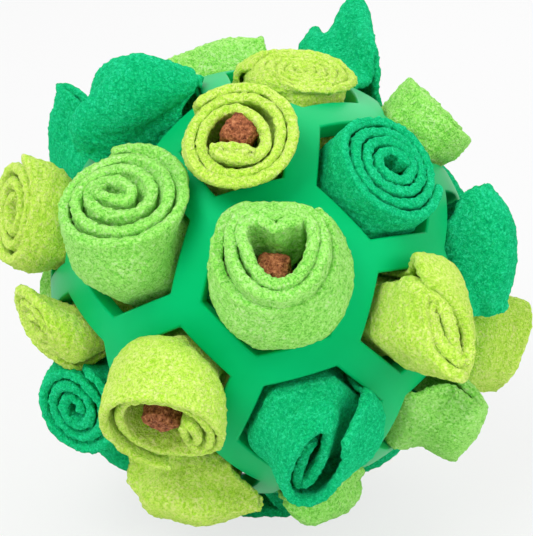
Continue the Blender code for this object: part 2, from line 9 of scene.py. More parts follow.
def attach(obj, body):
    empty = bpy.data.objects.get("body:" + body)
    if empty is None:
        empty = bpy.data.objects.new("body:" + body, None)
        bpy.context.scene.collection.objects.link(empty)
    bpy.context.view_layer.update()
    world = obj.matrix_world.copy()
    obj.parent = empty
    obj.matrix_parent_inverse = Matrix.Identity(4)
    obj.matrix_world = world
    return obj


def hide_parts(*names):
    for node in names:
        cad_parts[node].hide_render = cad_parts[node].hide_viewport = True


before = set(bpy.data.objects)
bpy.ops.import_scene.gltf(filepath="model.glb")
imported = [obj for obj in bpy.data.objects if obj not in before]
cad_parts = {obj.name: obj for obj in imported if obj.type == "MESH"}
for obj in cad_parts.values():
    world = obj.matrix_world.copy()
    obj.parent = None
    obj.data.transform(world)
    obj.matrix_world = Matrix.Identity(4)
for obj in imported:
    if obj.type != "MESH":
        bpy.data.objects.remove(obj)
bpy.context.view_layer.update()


# The rubber ball is a hollow lattice of soft green rubber, moulded in one piece. Its ribs part 12
# pentagonal and 20 hexagonal holes, and the rims of the holes are rounded over.
ball_radius = 0.060
ball_wall = 0.005
rib_width = 0.0092
rim_round = 0.0013
rim_angle = math.radians(50)
lattice_cuts = 5
ball_height = 0.069
ball_turn = Euler([math.radians(angle) for angle in (1, 45, 9)]).to_matrix()
rubber_colour = (0.0, 0.46, 0.14)
rubber_shade = (0.0, 0.40, 0.11)


def lattice_cage():
    """The lattice's lines: a truncated icosahedron with its corners on the ball's outer sphere."""
    cage = bmesh.new()
    bmesh.ops.create_icosphere(cage, subdivisions=1, radius=ball_radius)
    cage.edges.ensure_lookup_table()
    third = cage.edges[0].calc_length() / 3
    bmesh.ops.bevel(
        cage, geom=list(cage.verts), offset=third, offset_type="OFFSET",
        affect="VERTICES", segments=1, profile=0.5,
    )
    for vert in cage.verts:
        vert.co = vert.co.normalized() * ball_radius
    cage.normal_update()
    return cage


def rubber_material():
    """Satin rubber: faint cloudy colour and the fine grain that the mould leaves."""
    made = bpy.data.materials.new("soft_green_rubber")
    made.use_nodes = True
    nodes, links = made.node_tree.nodes, made.node_tree.links
    shader = nodes["Principled BSDF"]
    shader.inputs["Specular IOR Level"].default_value = 0.40
    shader.inputs["Specular Tint"].default_value = (0.05, 1.0, 0.60, 1)
    shader.inputs["Subsurface Weight"].default_value = 0.12
    shader.inputs["Subsurface Radius"].default_value = (0.6, 1.0, 0.7)
    shader.inputs["Subsurface Scale"].default_value = 0.003
    place = nodes.new("ShaderNodeTexCoord")
    cloud = nodes.new("ShaderNodeTexNoise")
    cloud.inputs["Scale"].default_value = 45
    cloud.inputs["Detail"].default_value = 3
    tint = nodes.new("ShaderNodeValToRGB")
    tint.color_ramp.elements[0].position = 0.3
    tint.color_ramp.elements[0].color = (*rubber_shade, 1)
    tint.color_ramp.elements[1].position = 0.7
    tint.color_ramp.elements[1].color = (*rubber_colour, 1)
    gloss = nodes.new("ShaderNodeMapRange")
    gloss.inputs["To Min"].default_value = 0.38
    gloss.inputs["To Max"].default_value = 0.52
    grain = nodes.new("ShaderNodeTexNoise")
    grain.inputs["Scale"].default_value = 1400
    grain.inputs["Detail"].default_value = 2
    bump = nodes.new("ShaderNodeBump")
    bump.inputs["Strength"].default_value = 0.10
    bump.inputs["Distance"].default_value = 0.0002
    links.new(place.outputs["Object"], cloud.inputs["Vector"])
    links.new(place.outputs["Object"], grain.inputs["Vector"])
    links.new(cloud.outputs["Fac"], tint.inputs["Fac"])
    links.new(cloud.outputs["Fac"], gloss.inputs["Value"])
    links.new(tint.outputs["Color"], shader.inputs["Base Color"])
    links.new(gloss.outputs["Result"], shader.inputs["Roughness"])
    links.new(grain.outputs["Fac"], bump.inputs["Height"])
    links.new(bump.outputs["Normal"], shader.inputs["Normal"])
    return made


cage = lattice_cage()
openings = list(cage.faces)
bmesh.ops.inset_individual(
    cage, faces=openings, thickness=rib_width / 2, use_even_offset=True
)
bmesh.ops.delete(cage, geom=openings, context="FACES_ONLY")
bmesh.ops.subdivide_edges(
    cage, edges=list(cage.edges), cuts=lattice_cuts, use_grid_fill=True
)
for vert in cage.verts:
    vert.co = ball_turn @ vert.co.normalized() * ball_radius
    vert.co.z += ball_height
mesh = bpy.data.meshes.new("rubber_lattice")
cage.to_mesh(mesh)
cage.free()
mesh.shade_smooth()
rubber_lattice = bpy.data.objects.new("rubber_lattice", mesh)
bpy.context.scene.collection.objects.link(rubber_lattice)
wall = rubber_lattice.modifiers.new("wall", "SOLIDIFY")
wall.thickness = ball_wall
wall.offset = -1
rims = rubber_lattice.modifiers.new("rounded_rims", "BEVEL")
rims.width = rim_round
rims.segments = 4
rims.limit_method = "ANGLE"
rims.angle_limit = rim_angle
rims.harden_normals = True
rubber_lattice.data.materials.append(rubber_material())
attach(rubber_lattice, "rubber_ball")
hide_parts("rubber_ball")


# The roll in front is a strip of light green polar fleece, cut straight and rolled up about the
# axis of its hole. The hole squeezes it, and nothing else holds it. Its inner turns stand proud,
# and their hollow keeps the shape that the treat gives it.
fleece_squeezed = 0.0016
tucked_in = 0.015
stick_out = 0.016
touch_gap = 0.0003
narrow_hollow_share = 0.11
neck_gap = 0.0010
bulge_height_share = 0.36
rim_row_bulge = 1.07
length_allowance = 1.1
points_per_turn = 24
ragged_edge = 0.0005
ragged_lump = 0.007
wave_lump = 0.011
wave_start_share = 0.3
nap_depth = 0.0012
nap_grain = 0.0013
light_green = (0.38, 0.96, 0.15)
# Painted shade between the nap's clumps, and a painted highlight on its fibre tips that also tints
# the sheen.
light_green_painted_shade = (0.15, 0.64, 0.05)
light_green_highlight = (0.62, 1.0, 0.38)


class Hole:
    """A hole of the lattice: its axis, its outer rim and its own frame, +Y up the ball, +Z out."""

    def __init__(self, face):
        centre = face.calc_center_median()
        middle_of_side = (face.verts[0].co + face.verts[1].co) / 2
        inset = (middle_of_side - centre).length - rib_width / 2
        to_sphere = ball_radius / math.hypot(centre.length, inset)
        self.rim_radius = inset * to_sphere
        self.rim_level = centre.length * to_sphere
        self.inner_level = self.rim_level * (ball_radius - ball_wall) / ball_radius
        self.axis = (ball_turn @ centre).normalized()
        up = (Vector((0, 0, 1)) - self.axis * self.axis.z).normalized()
        turned = Matrix((up.cross(self.axis), up, self.axis)).transposed()
        self.turned = np.array(turned)
        toward_side = turned.transposed() @ (ball_turn @ middle_of_side)
        side_deg = math.degrees(math.atan2(toward_side.y, toward_side.x))
        sides = len(face.verts)
        self.sides_deg = np.array([side_deg + 360 * side / sides for side in range(sides)])

    def free_radius(self, level):
        """How wide a round plug may be at this level and still pass the hole."""
        return self.rim_radius * level / self.rim_level - touch_gap

    def from_side_deg(self, angles_deg):
        """How far each local direction is from the middle of its nearest side."""
        off = np.asarray(angles_deg)[..., None] - self.sides_deg
        off = (off + 180) % 360 - 180
        return np.take_along_axis(off, np.abs(off).argmin(-1)[..., None], -1)[..., 0]

    def room(self, start, direction, level):
        """How far a local point may move in a direction before it meets a wall of the hole."""
        angles = np.radians(self.sides_deg)
        normals = np.stack([np.cos(angles), np.sin(angles)], -1)
        toward = normals @ direction
        space = self.free_radius(level) - normals @ start
        return (space[toward > 0] / toward[toward > 0]).min()

    def to_world(self, points):
        """Points in the hole's own frame, in the frame of the scene."""
        return points @ self.turned.T + np.array((0, 0, ball_height))


holes = [Hole(face) for face in lattice_cage().faces]


def hole_facing(azimuth_deg, elevation_deg):
    """The hole nearest to a direction. Azimuth 0 is -Y and 90 is +X."""
    azimuth, elevation = math.radians(azimuth_deg), math.radians(elevation_deg)
    level = math.cos(elevation)
    wanted = Vector(
        (level * math.sin(azimuth), -level * math.cos(azimuth), math.sin(elevation))
    )
    return max(holes, key=lambda hole: hole.axis.dot(wanted))


def soft_noise(points, lump, seed):
    """Smooth noise from -1 to 1 at each point, with lumps of this size.

    Each corner of a grid takes its value from a table, at a place that its numbers are mixed to.
    """
    table = np.random.RandomState(seed).uniform(-1, 1, 4096)
    primes = (73856093, 19349663, 83492791)
    cell = np.floor(points / lump).astype(np.int64)
    share = points / lump - cell
    share = share * share * (3 - 2 * share)
    total = np.zeros(points.shape[:-1])
    for corner in np.ndindex(*(2,) * points.shape[-1]):
        at = cell + np.array(corner)
        key = np.zeros(points.shape[:-1], np.int64)
        weight = np.ones(points.shape[:-1])
        for axis, prime in zip(range(points.shape[-1]), primes):
            key ^= at[..., axis] * prime
            near = share[..., axis]
            weight *= near if corner[axis] else 1 - near
        total += weight * table[key % len(table)]
    return total


def smooth_rows(points, count):
    """More rows through these rows of points, evenly spaced and with no overshoot."""
    steps = np.diff(points, axis=0)
    lengths = np.linalg.norm(steps, axis=-1).mean(axis=1)
    knots = np.concatenate([[0], np.cumsum(lengths)])
    slopes = steps / lengths[:, None, None]
    before, after = slopes[:-1], slopes[1:]
    both = before * after
    total = np.where(both > 0, before + after, 1)
    tangents = np.empty_like(points)
    tangents[1:-1] = np.where(both > 0, 2 * both / total, 0)
    tangents[0], tangents[-1] = slopes[0], slopes[-1]
    wanted = np.linspace(0, knots[-1], count)
    span = np.clip(np.searchsorted(knots, wanted, side="right") - 1, 0, len(lengths) - 1)
    length = lengths[span][:, None, None]
    t = ((wanted - knots[span])[:, None, None]) / length
    return (
        (2 * t**3 - 3 * t**2 + 1) * points[span]
        + (t**3 - 2 * t**2 + t) * length * tangents[span]
        + (3 * t**2 - 2 * t**3) * points[span + 1]
        + (t**3 - t**2) * length * tangents[span + 1]
    )


def outline(shares, angles_deg):
    """Points round an outline: an ellipse for two shares, else a closed curve through shares
    that are set evenly round from local +X."""
    angles = np.radians(angles_deg)
    round_it = np.stack([np.cos(angles), np.sin(angles)], -1)
    if len(shares) == 2:
        return round_it * np.array(shares)
    values = np.array(shares)
    at = angles_deg / 360 * len(values)
    index = np.floor(at).astype(int)
    t = at - index
    a, b, c, d = (values[(index + step) % len(values)] for step in (-1, 0, 1, 2))
    curve = b + t / 2 * (c - a + t * (2 * a - 5 * b + 4 * c - d + t * (3 * (b - c) + d - a)))
    return round_it * curve[:, None]


def fleece_thickness(hole, levels, full):
    """How thick the fleece is: squeezed in the hole, and full a little outside it."""
    past_rim = np.clip(2 * (levels - hole.rim_level) / stick_out, 0, 1)
    return fleece_squeezed + (full - fleece_squeezed) * past_rim


def rolled(
    hole, turns, out, bulge=(1, 1), rings=(), heights=(), lean=(0, 0), slopes=(0, 0),
    long_way=0, end=0, peaks=(), neck=(1, 1), neck_place=(0, 0), seed=1, cell=0.0012,
    rows=26,
):
    """The middle of a strip's thickness, rolled up: rows across it, from the tucked edge out.

    rings are (turn, centre, outline) of the visible edge in shares of the rim's radius, and
    heights are (turn, share of stick_out) of that edge. The strip ends at the angle end, bulges
    above the rim, leans and slopes by shares, and rises to peaks at (angle, share). neck and
    neck_place are the share of the hole that it fills and where in the hole it lies.
    """
    radius = hole.rim_radius
    half = fleece_squeezed / 2
    length = turns * math.pi * radius * length_allowance
    count = max(int(length / cell), int(turns * points_per_turn))
    turn = np.linspace(0, turns, count)
    end_deg = end - hole.from_side_deg(end)
    angles_deg = end_deg - 360 * (turns - turn)
    share = turn / turns
    knots = np.array([ring[0] for ring in rings], float)
    curves = np.array([np.array(ring[1]) + outline(ring[2], angles_deg) for ring in rings])
    span = np.clip(np.searchsorted(knots, turn, side="right") - 1, 0, len(knots) - 2)
    mix = ((turn - knots[span]) / (knots[span + 1] - knots[span]))[:, None]
    each = np.arange(count)
    edge = (curves[span, each] * (1 - mix) + curves[span + 1, each] * mix) * radius
    edge_outer = outline(rings[-1][2], angles_deg)
    bulge_outer = outline(bulge, angles_deg)
    swell = np.linalg.norm(bulge_outer, axis=1) / np.linalg.norm(edge_outer, axis=1)
    along_out = np.interp(turn, [h[0] for h in heights], [h[1] for h in heights])
    made = []
    for level in (hole.rim_level - tucked_in, hole.inner_level, hole.rim_level):
        free = hole.free_radius(max(level, hole.inner_level))
        inner = narrow_hollow_share * radius * np.array(neck) + half
        outer = free * np.array(neck) - half
        # The winding is a power of the turn, so the last two turns keep neck_gap between them.
        close = (2 * half + neck_gap) / (outer - inner).min()
        power = min(1, math.log(1 - close) / math.log(1 - 1 / turns))
        widths = inner + (outer - inner) * (share**power)[:, None]
        flat = widths * outline((1, 1), angles_deg)
        # A roll that has its hole to itself takes on the hole's straight sides.
        if neck_place == (0, 0):
            flat = flat / np.cos(np.radians(hole.from_side_deg(angles_deg)))[:, None]
        flat = flat + free * np.array(neck_place)
        made.append(np.column_stack([flat, np.full(count, level)]))
    most_lean = max(abs(part) for part in lean) * bulge_height_share**2
    # Only a roll that bulges over the rim needs a row of points at the rim.
    if max(bulge) + most_lean < rim_row_bulge:
        made.pop(2)
    cos, sin = math.cos(math.radians(long_way)), math.sin(math.radians(long_way))
    turned = np.array(((cos, sin), (-sin, cos)))
    place = np.array(neck_place)
    for along in (bulge_height_share, 1):
        grown = 1 + (swell - 1) * share if along < 1 else np.ones(count)
        flat = (edge * grown[:, None]) @ turned
        level = hole.rim_level + along * out * stick_out
        rise = (along_out - 1) * stick_out * out
        rise = rise + flat @ np.array(slopes)
        for peak_deg, peak in peaks:
            toward = np.cos(np.radians(angles_deg - peak_deg))
            rise = rise + peak * stick_out * np.clip(toward, 0, 1) ** 3
        if along == 1:
            spot = np.column_stack([flat, turn * radius])
            rise = rise + ragged_edge * soft_noise(spot, ragged_lump, seed)
        flat = flat + (place + along**2 * np.array(lean)) * radius
        made.append(np.column_stack([flat, level + along**2 * rise]))
    return smooth_rows(np.array(made), rows)


def fleece_material(name, colour, painted_shade, highlight):
    """Napped fleece: short fibres, with a painted highlight on their tips and painted shade
    between clumps.
    """
    made = bpy.data.materials.new(name)
    made.use_nodes = True
    nodes, links = made.node_tree.nodes, made.node_tree.links
    shader = nodes["Principled BSDF"]
    shader.inputs["Roughness"].default_value = 0.95
    shader.inputs["Specular IOR Level"].default_value = 0.05
    shader.inputs["Sheen Weight"].default_value = 0.45
    shader.inputs["Sheen Roughness"].default_value = 0.40
    shader.inputs["Sheen Tint"].default_value = (*highlight, 1)
    shader.inputs["Subsurface Weight"].default_value = 0.2
    shader.inputs["Subsurface Radius"].default_value = (1.0, 1.0, 0.4)
    shader.inputs["Subsurface Scale"].default_value = 0.0010
    place = nodes.new("ShaderNodeTexCoord")
    fibres = nodes.new("ShaderNodeTexNoise")
    fibres.inputs["Scale"].default_value = 1500
    fibres.inputs["Detail"].default_value = 3
    fibres.inputs["Roughness"].default_value = 0.6
    fibres.inputs["Distortion"].default_value = 0.8
    clumps = nodes.new("ShaderNodeTexNoise")
    clumps.inputs["Scale"].default_value = 700
    clumps.inputs["Detail"].default_value = 3
    patches = nodes.new("ShaderNodeTexNoise")
    patches.inputs["Scale"].default_value = 90
    patches.inputs["Detail"].default_value = 2
    nap_height = nodes.new("ShaderNodeMath")
    nap_height.operation = "MULTIPLY_ADD"
    nap_height.inputs[1].default_value = 0.3
    with_patches = nodes.new("ShaderNodeMath")
    with_patches.operation = "MULTIPLY_ADD"
    with_patches.inputs[1].default_value = 0.15
    # The colour follows the nap's height: painted shade where it is low between clumps, a painted
    # highlight on the fibre tips, and random tone from the wide patches.
    tint = nodes.new("ShaderNodeValToRGB")
    tint.color_ramp.elements[0].position = 0.56
    tint.color_ramp.elements[0].color = (*painted_shade, 1)
    tint.color_ramp.elements[1].position = 0.90
    tint.color_ramp.elements[1].color = (*highlight, 1)
    middle = tint.color_ramp.elements.new(0.74)
    middle.color = (*colour, 1)
    bump = nodes.new("ShaderNodeBump")
    bump.inputs["Strength"].default_value = 1.0
    bump.inputs["Distance"].default_value = 0.0012
    for grain in (fibres, clumps, patches):
        links.new(place.outputs["Object"], grain.inputs["Vector"])
    links.new(clumps.outputs["Fac"], nap_height.inputs[0])
    links.new(fibres.outputs["Fac"], nap_height.inputs[2])
    links.new(patches.outputs["Fac"], with_patches.inputs[0])
    links.new(nap_height.outputs["Value"], with_patches.inputs[2])
    links.new(with_patches.outputs["Value"], tint.inputs["Fac"])
    links.new(tint.outputs["Color"], shader.inputs["Base Color"])
    links.new(nap_height.outputs["Value"], bump.inputs["Height"])
    links.new(bump.outputs["Normal"], shader.inputs["Normal"])
    return made


nap = bpy.data.textures.new("fleece_nap", "CLOUDS")
nap.noise_scale = nap_grain
nap.noise_depth = 1


def fleece_strip(name, hole, surface, material, full, wave=0.0006, seed=1):
    """A strip of fleece on its middle surface: thickness, rounded edges, soft waves and nap.

    full is its thickness where nothing squeezes it.
    """
    rows, columns = surface.shape[:2]
    wave_start = wave_start_share * stick_out
    past_rim = np.clip((surface[..., 2] - hole.rim_level) / wave_start, 0, 1)
    warp = np.stack([soft_noise(surface, wave_lump, seed + axis) for axis in range(3)], -1)
    pressed = fleece_thickness(hole, surface[..., 2], full) / full
    points = hole.to_world(surface + wave * past_rim[..., None] * warp)
    corner = (np.arange(rows - 1)[:, None] * columns + np.arange(columns - 1)).ravel()
    quads = np.stack([corner, corner + 1, corner + columns + 1, corner + columns], -1)
    mesh = bpy.data.meshes.new(name)
    mesh.from_pydata(points.reshape(-1, 3).tolist(), [], quads.tolist())
    mesh.shade_smooth()
    mesh.materials.append(material)
    strip = bpy.data.objects.new(name, mesh)
    bpy.context.scene.collection.objects.link(strip)
    group = strip.vertex_groups.new(name="pressed")
    for value in np.unique(np.round(pressed, 2)):
        chosen = np.flatnonzero(np.round(pressed, 2).ravel() == value)
        group.add(chosen.tolist(), float(value), "REPLACE")
    thick = strip.modifiers.new("fleece", "SOLIDIFY")
    thick.thickness = full
    thick.offset = 0
    thick.vertex_group = group.name
    soft = strip.modifiers.new("rounded_edges", "SUBSURF")
    soft.levels = soft.render_levels = 1
    fuzz = strip.modifiers.new("nap", "DISPLACE")
    fuzz.texture = nap
    fuzz.texture_coords = "LOCAL"
    fuzz.strength = nap_depth
    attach(strip, name.removesuffix("_fleece"))
    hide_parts(name.removesuffix("_fleece"))


light_fleece = fleece_material(
    "light_green_napped_fleece", light_green, light_green_painted_shade, light_green_highlight
)
front_hole = hole_facing(3, 20)
front_roll = rolled(
    front_hole, turns=3.0, out=0.95, bulge=(1.10, 1.08),
    rings=(
        (0, (0.05, 0.04), (0.36, 0.54, 0.26, 0.56, 0.36, 0.33, 0.40, 0.35)),
        (1, (0.03, 0.03), (0.54, 0.66, 0.46, 0.68, 0.54, 0.50, 0.56, 0.52)),
        (3, (0, 0), (0.92, 0.92, 0.84, 0.90, 0.92, 0.88, 0.88, 0.90)),
    ),
    heights=((0, 1.3), (1.9, 1.15), (2.3, 0.85), (3, 0.8)),
    lean=(-0.12, 0.46), slopes=(0, -0.5), end=60,
)
fleece_strip(
    "light_roll_front_fleece", front_hole, front_roll, light_fleece,
    full=0.0031,
)


# The roll above it is a strip of lime fleece, pushed into its hole. Its inner end is coiled up
# small under the treat, and its outer turns lie close round both.
lime = (0.67, 0.98, 0.12)
# Painted shade between the nap's clumps, and a painted highlight on its fibre tips that also tints
# the sheen.
lime_painted_shade = (0.40, 0.78, 0.03)
lime_highlight = (0.86, 1.0, 0.34)
lime_fleece = fleece_material("lime_napped_fleece", lime, lime_painted_shade, lime_highlight)
upper_hole = hole_facing(-12, 55)
upper_roll = rolled(
    upper_hole, turns=4, out=0.75, bulge=(1.22, 1.22),
    rings=(
        (0, (0.02, -0.535), (0.24, 0.04)),
        (1, (0.02, -0.535), (0.36, 0.085)),
        (2, (0, -0.06), (0.70, 0.79)),
        (3, (0, -0.045), (0.93, 1.01)),
        (4, (0, -0.02), (1.17, 1.235)),
    ),
    heights=((0, 1.25), (1.3, 1.25), (2, 1.0), (4, 1.0)),
    lean=(0.24, -0.40), slopes=(0, 0.15), end=130, seed=2,
)
fleece_strip(
    "lime_roll_upper_front_fleece", upper_hole, upper_roll, lime_fleece,
    full=0.0027, seed=5,
)


# The lime roll at the lower left is wound loosely and pushed into its hole. It leans down, and
# its outer turn hoods the others, with the treat under the hood.
lower_hole = hole_facing(-23, -8)
lower_roll = rolled(
    lower_hole, turns=3, out=0.95, bulge=(1.30, 1.42),
    rings=(
        (0, (0.62, 0.0), (0.04, 0.16)),
        (1, (0.60, 0.0), (0.19, 0.44)),
        (1.35, (0.30, 0), (0.68, 0.72)),
        (1.6, (0.02, 0), (0.97, 0.90)),
        (2, (0.02, 0), (1.06, 1.0, 0.97, 1.04, 1.0, 0.88, 0.74, 0.90)),
        (3, (0, 0), (1.28, 1.25, 1.17, 1.25, 1.28, 1.25, 1.17, 1.25)),
    ),
    heights=((0, 1.1), (1.2, 1.05), (1.6, 0.85), (2.2, 0.95), (3, 1.05)),
    lean=(0.24, -0.6), slopes=(-0.2, 0.52), end=-75, seed=3,
)
fleece_strip(
    "lime_roll_lower_left_fleece", lower_hole, lower_roll, lime_fleece,
    full=0.0022, seed=9,
)


# The light green roll at the left is the same fleece as the front one, wound close. Its inner
# end is flattened into a loop, and the roll leans up in its hole.
left_hole = hole_facing(-42, 25)
left_roll = rolled(
    left_hole, turns=4, out=0.8, bulge=(0.98, 0.98),
    rings=(
        (0, (-0.08, 0.05), (0.19, 0.02)),
        (1, (-0.06, 0.06), (0.33, 0.20)),
        (2, (0, 0.02), (0.57, 0.46)),
        (4, (0, 0), (0.93, 0.87)),
    ),
    heights=((0, 1.25), (4, 1.0)),
    lean=(0.26, 0.66), slopes=(-0.3, -0.55), long_way=10, end=100, seed=4,
)
fleece_strip(
    "light_roll_left_fleece", left_hole, left_roll, light_fleece,
    full=0.0029, seed=13,
)


# The other rolls that show are strips of the three green fleeces, wound round a small hollow.
# Each leans a little its own way in its hole, and two of them share the hole at the lower left.
dark = (0.006, 0.60, 0.215)
# Painted shade between the nap's clumps, and a painted highlight on its fibre tips that also tints
# the sheen.
dark_painted_shade = (0.0, 0.41, 0.135)
dark_highlight = (0.03, 0.77, 0.36)
dark_fleece = fleece_material("dark_green_napped_fleece", dark, dark_painted_shade, dark_highlight)
kinds = {
    "dark": (dark_fleece, "dark_green_fleece"),
    "light": (light_fleece, "light_green_fleece"),
    "lime": (lime_fleece, "lime_fleece"),
}


def plain_roll(
    name, facing, turns, out, hollow, edge, rise, flat, seed, full=0.0027, wave=0.0006, **more
):
    """A strip wound evenly from its hollow to its outer edge. Its hollow stands up by rise."""
    hole = hole_facing(*facing)
    surface = rolled(
        hole, turns, out,
        rings=((0, (0, 0), hollow), (turns, (0, 0), edge)),
        heights=((0, 1 + rise), (turns, 1)), seed=seed, **more,
    )
    material, slot = kinds[name.split("_")[0]]
    fleece_strip(name + "_fleece", hole, surface, material, full, wave, 3 * seed)


plain_roll(
    "dark_roll_upper_right", facing=(44, 43), turns=4, out=0.45, hollow=(0.18, 0.14),
    edge=(0.90, 0.90), rise=0.35, flat=(0.023, 0.24), seed=5, bulge=(0.94, 0.94), end=300,
)
plain_roll(
    "lime_roll_top", facing=(92, 82), turns=5, out=0.3, hollow=(0.08, 0.05),
    edge=(0.86, 0.86), rise=0.1, flat=(0.020, 0.30), seed=6, bulge=(0.92, 0.92),
    lean=(-0.15, -0.2), slopes=(0.15, 0), end=90,
)
plain_roll(
    "dark_roll_left_low", facing=(-60, -13), turns=3.25, out=0.50, hollow=(0.10, 0.10),
    edge=(0.80, 0.84), rise=0.1, flat=(0.023, 0.155), seed=7, bulge=(0.94, 0.50),
    lean=(0.34, -0.14), slopes=(-0.45, -0.1), end=60,
    neck=(0.82, 0.48), neck_place=(0, -0.495),
)
plain_roll(
    "lime_roll_left_middle", facing=(-60, -13), turns=2.75, out=0.62, hollow=(0.08, 0.08),
    edge=(0.60, 0.66), rise=0.15, flat=(0.025, 0.12), seed=8, bulge=(0.94, 0.46),
    lean=(-0.08, 0.48), slopes=(-0.1, 0.1), end=280,
    neck=(0.82, 0.48), neck_place=(0, 0.495),
)
plain_roll(
    "lime_roll_left_upper", facing=(-81, 18), turns=3, out=1.0, hollow=(0.18, 0.26),
    edge=(0.98, 1.26), rise=0, flat=(0.031, 0.17), seed=9, bulge=(1.12, 1.26),
    lean=(0, 0.1), slopes=(-0.4, 0.1), end=90,
)
plain_roll(
    "lime_bud_right", facing=(39, 6), turns=2, out=0.95, hollow=(0.03, 0.42),
    edge=(0.52, 1.0), rise=0.1, flat=(0.031, 0.12), seed=10, bulge=(1.28, 1.30),
    lean=(-0.08, -0.24), slopes=(0.22, -0.25), end=115,
    peaks=((-100, 0.30), (20, 0.12)), full=0.0036, wave=0.0030,
)
plain_roll(
    "dark_bud_lower_front", facing=(13, -21), turns=1.75, out=0.95, hollow=(0.03, 0.40),
    edge=(0.46, 0.82), rise=-0.35, flat=(0.031, 0.14), seed=11, bulge=(1.14, 1.14),
    lean=(-0.18, -0.14), long_way=-8, end=40, wave=0.0016,
)
plain_roll(
    "light_roll_right_upper", facing=(98, 45), turns=2.5, out=0.65, hollow=(0.26, 0.26),
    edge=(1.08, 1.08), rise=0.1, flat=(0.026, 0.15), seed=12, bulge=(1.14, 1.14),
)
plain_roll(
    "lime_roll_far_right", facing=(99, -18), turns=2.5, out=1.15, hollow=(0.2, 0.3),
    edge=(0.88, 1.2), rise=0.1, flat=(0.033, 0.16), seed=13, bulge=(1.12, 1.34),
    lean=(0, 0.1),
)


# Some strips of the same fleeces are folded over with the fold outside and both ends tucked into
# the hole. They stand up as flaps and petals. A path is (share across the hole, share of the
# height) from one tucked end to the other.
fold_cell = 0.0013
up_and_over = (
    (-0.62, -1), (-0.62, 0), (-0.44, 0.45), (-0.30, 0.86), (0, 1),
    (0.30, 0.86), (0.44, 0.45), (0.62, 0), (0.62, -1),
)
low_and_over = (
    (-0.46, -1), (-0.46, 0), (-0.66, 0.5), (-0.50, 1.3), (0, 1.3),
    (0.50, 1.3), (0.66, 0.6), (0.46, 0), (0.46, -1),
)
twice_over = (
    (-0.60, -1), (-0.60, 0), (-0.74, 0.55), (-0.58, 1), (-0.34, 0.95), (-0.16, 0.55),
    (0.02, 0.60), (0.12, 1.05), (0.40, 1.25), (0.68, 0.65), (0.56, 0), (0.56, -1),
)


def folded(
    name, facing, path, out, wide, crests, seed, turned=0, lean=(0, 0), spread=1,
    pinch=0.85, lowest=None, full=0.0026, wave=0.0022,
):
    """A strip folded over: rows up, over and down again, one after the other along the fold.

    It opens from the hole's width to its own by half its height, and its two sides are pinched
    together. crests are the heights along the fold, each one number or (back, front). lowest is
    the level at which the floor presses it flat.
    """
    hole = hole_facing(*facing)
    radius = hole.rim_radius
    half = fleece_squeezed / 2
    angle = math.radians(turned)
    across_way = np.array((math.cos(angle), math.sin(angle)))
    fold_way = np.array((-math.sin(angle), math.cos(angle)))
    rows = []
    for column, crest in enumerate(crests):
        back, front = crest if type(crest) is tuple else (crest, crest)
        along = 2 * column / (len(crests) - 1) - 1
        row = []
        for across, height in path:
            level = hole.rim_level + min(height, 0) * tucked_in
            x = across * hole.free_radius(level)
            room = min(
                hole.room(face * across_way, math.copysign(1, along) * fold_way, level)
                for face in (x - half, x + half)
            )
            if height <= 0:
                flat_point = x * across_way + along * room * fold_way
            else:
                opening = min(2 * height, 1)
                half_width = room + (wide * radius - room) * opening
                closed = 1 - pinch * min(4 * height, 1) * along**2
                flat_point = across * closed * spread * radius * across_way
                flat_point = flat_point + along * half_width * fold_way
                flat_point = flat_point + height * radius * np.array(lean)
                crest_here = front if across > 0 else back
                level = hole.rim_level + height * crest_here * out * stick_out
            if lowest is not None:
                side = hole.turned @ np.array((*flat_point, 0))
                floor_level = (lowest + full / 2 - ball_height - side[2]) / hole.axis.z
                level = min(level, floor_level)
            row.append((*flat_point, level))
        rows.append(row)
    control = np.array(rows)
    length = np.linalg.norm(np.diff(control[1], axis=0), axis=-1).sum()
    width = np.linalg.norm(np.diff(control[:, 4], axis=0), axis=-1).sum()
    path_rows = smooth_rows(control.swapaxes(0, 1), int(length / fold_cell))
    surface = smooth_rows(path_rows.swapaxes(0, 1), int(width / fold_cell))
    material, slot = kinds[name.split("_")[0]]
    fleece_strip(name + "_fleece", hole, surface, material, full, wave, seed)


folded(
    "dark_petals_upper_left", facing=(-80, 56), path=twice_over, out=0.85, wide=1.12,
    crests=((0.45, 0.45), (1.0, 0.8), (1.2, 1.0), (0.75, 1.1), (0.1, 0.4)),
    seed=60, turned=-18, pinch=0.6,
)
folded(
    "dark_flap_back_left", facing=(-121, 26), path=up_and_over, out=1.3, wide=0.95,
    crests=(0.75, 0.95, 1.1, 1.15), seed=64, turned=-20,
)
folded(
    "light_fold_top_back", facing=(-151, 57), path=up_and_over, out=0.68, wide=1.5,
    crests=(0.9, 1.05, 1.05, 0.8), seed=68, turned=60,
)
folded(
    "dark_peak_back", facing=(151, 45), path=up_and_over, out=1.55, wide=0.80,
    crests=(1.05, 0.90, 1.40, 1.0, 0.6), seed=72, turned=75,
    lean=(0.05, 0.3),
)
folded(
    "dark_fold_right", facing=(77, 12), path=up_and_over, out=0.8, wide=0.98,
    crests=(0.65, 1.0, 1.1, 0.75), seed=76, turned=-4,
    lean=(0, 0.1), spread=1.2, pinch=0.6, wave=0.0036,
)
folded(
    "light_flap_lower_right", facing=(59, -26), path=up_and_over, out=0.95, wide=0.88,
    crests=((0.95, 1.0), (1.0, 1.15), (1.0, 1.15), (0.95, 1.05)),
    seed=80, turned=25, spread=0.85, wave=0.0014,
)
folded(
    "light_fold_under_front", facing=(29, -57), path=up_and_over, out=0.6, wide=1.2,
    crests=(0.5, 1.1, 1.1, 0.45), seed=84, turned=70, pinch=0.95,
)
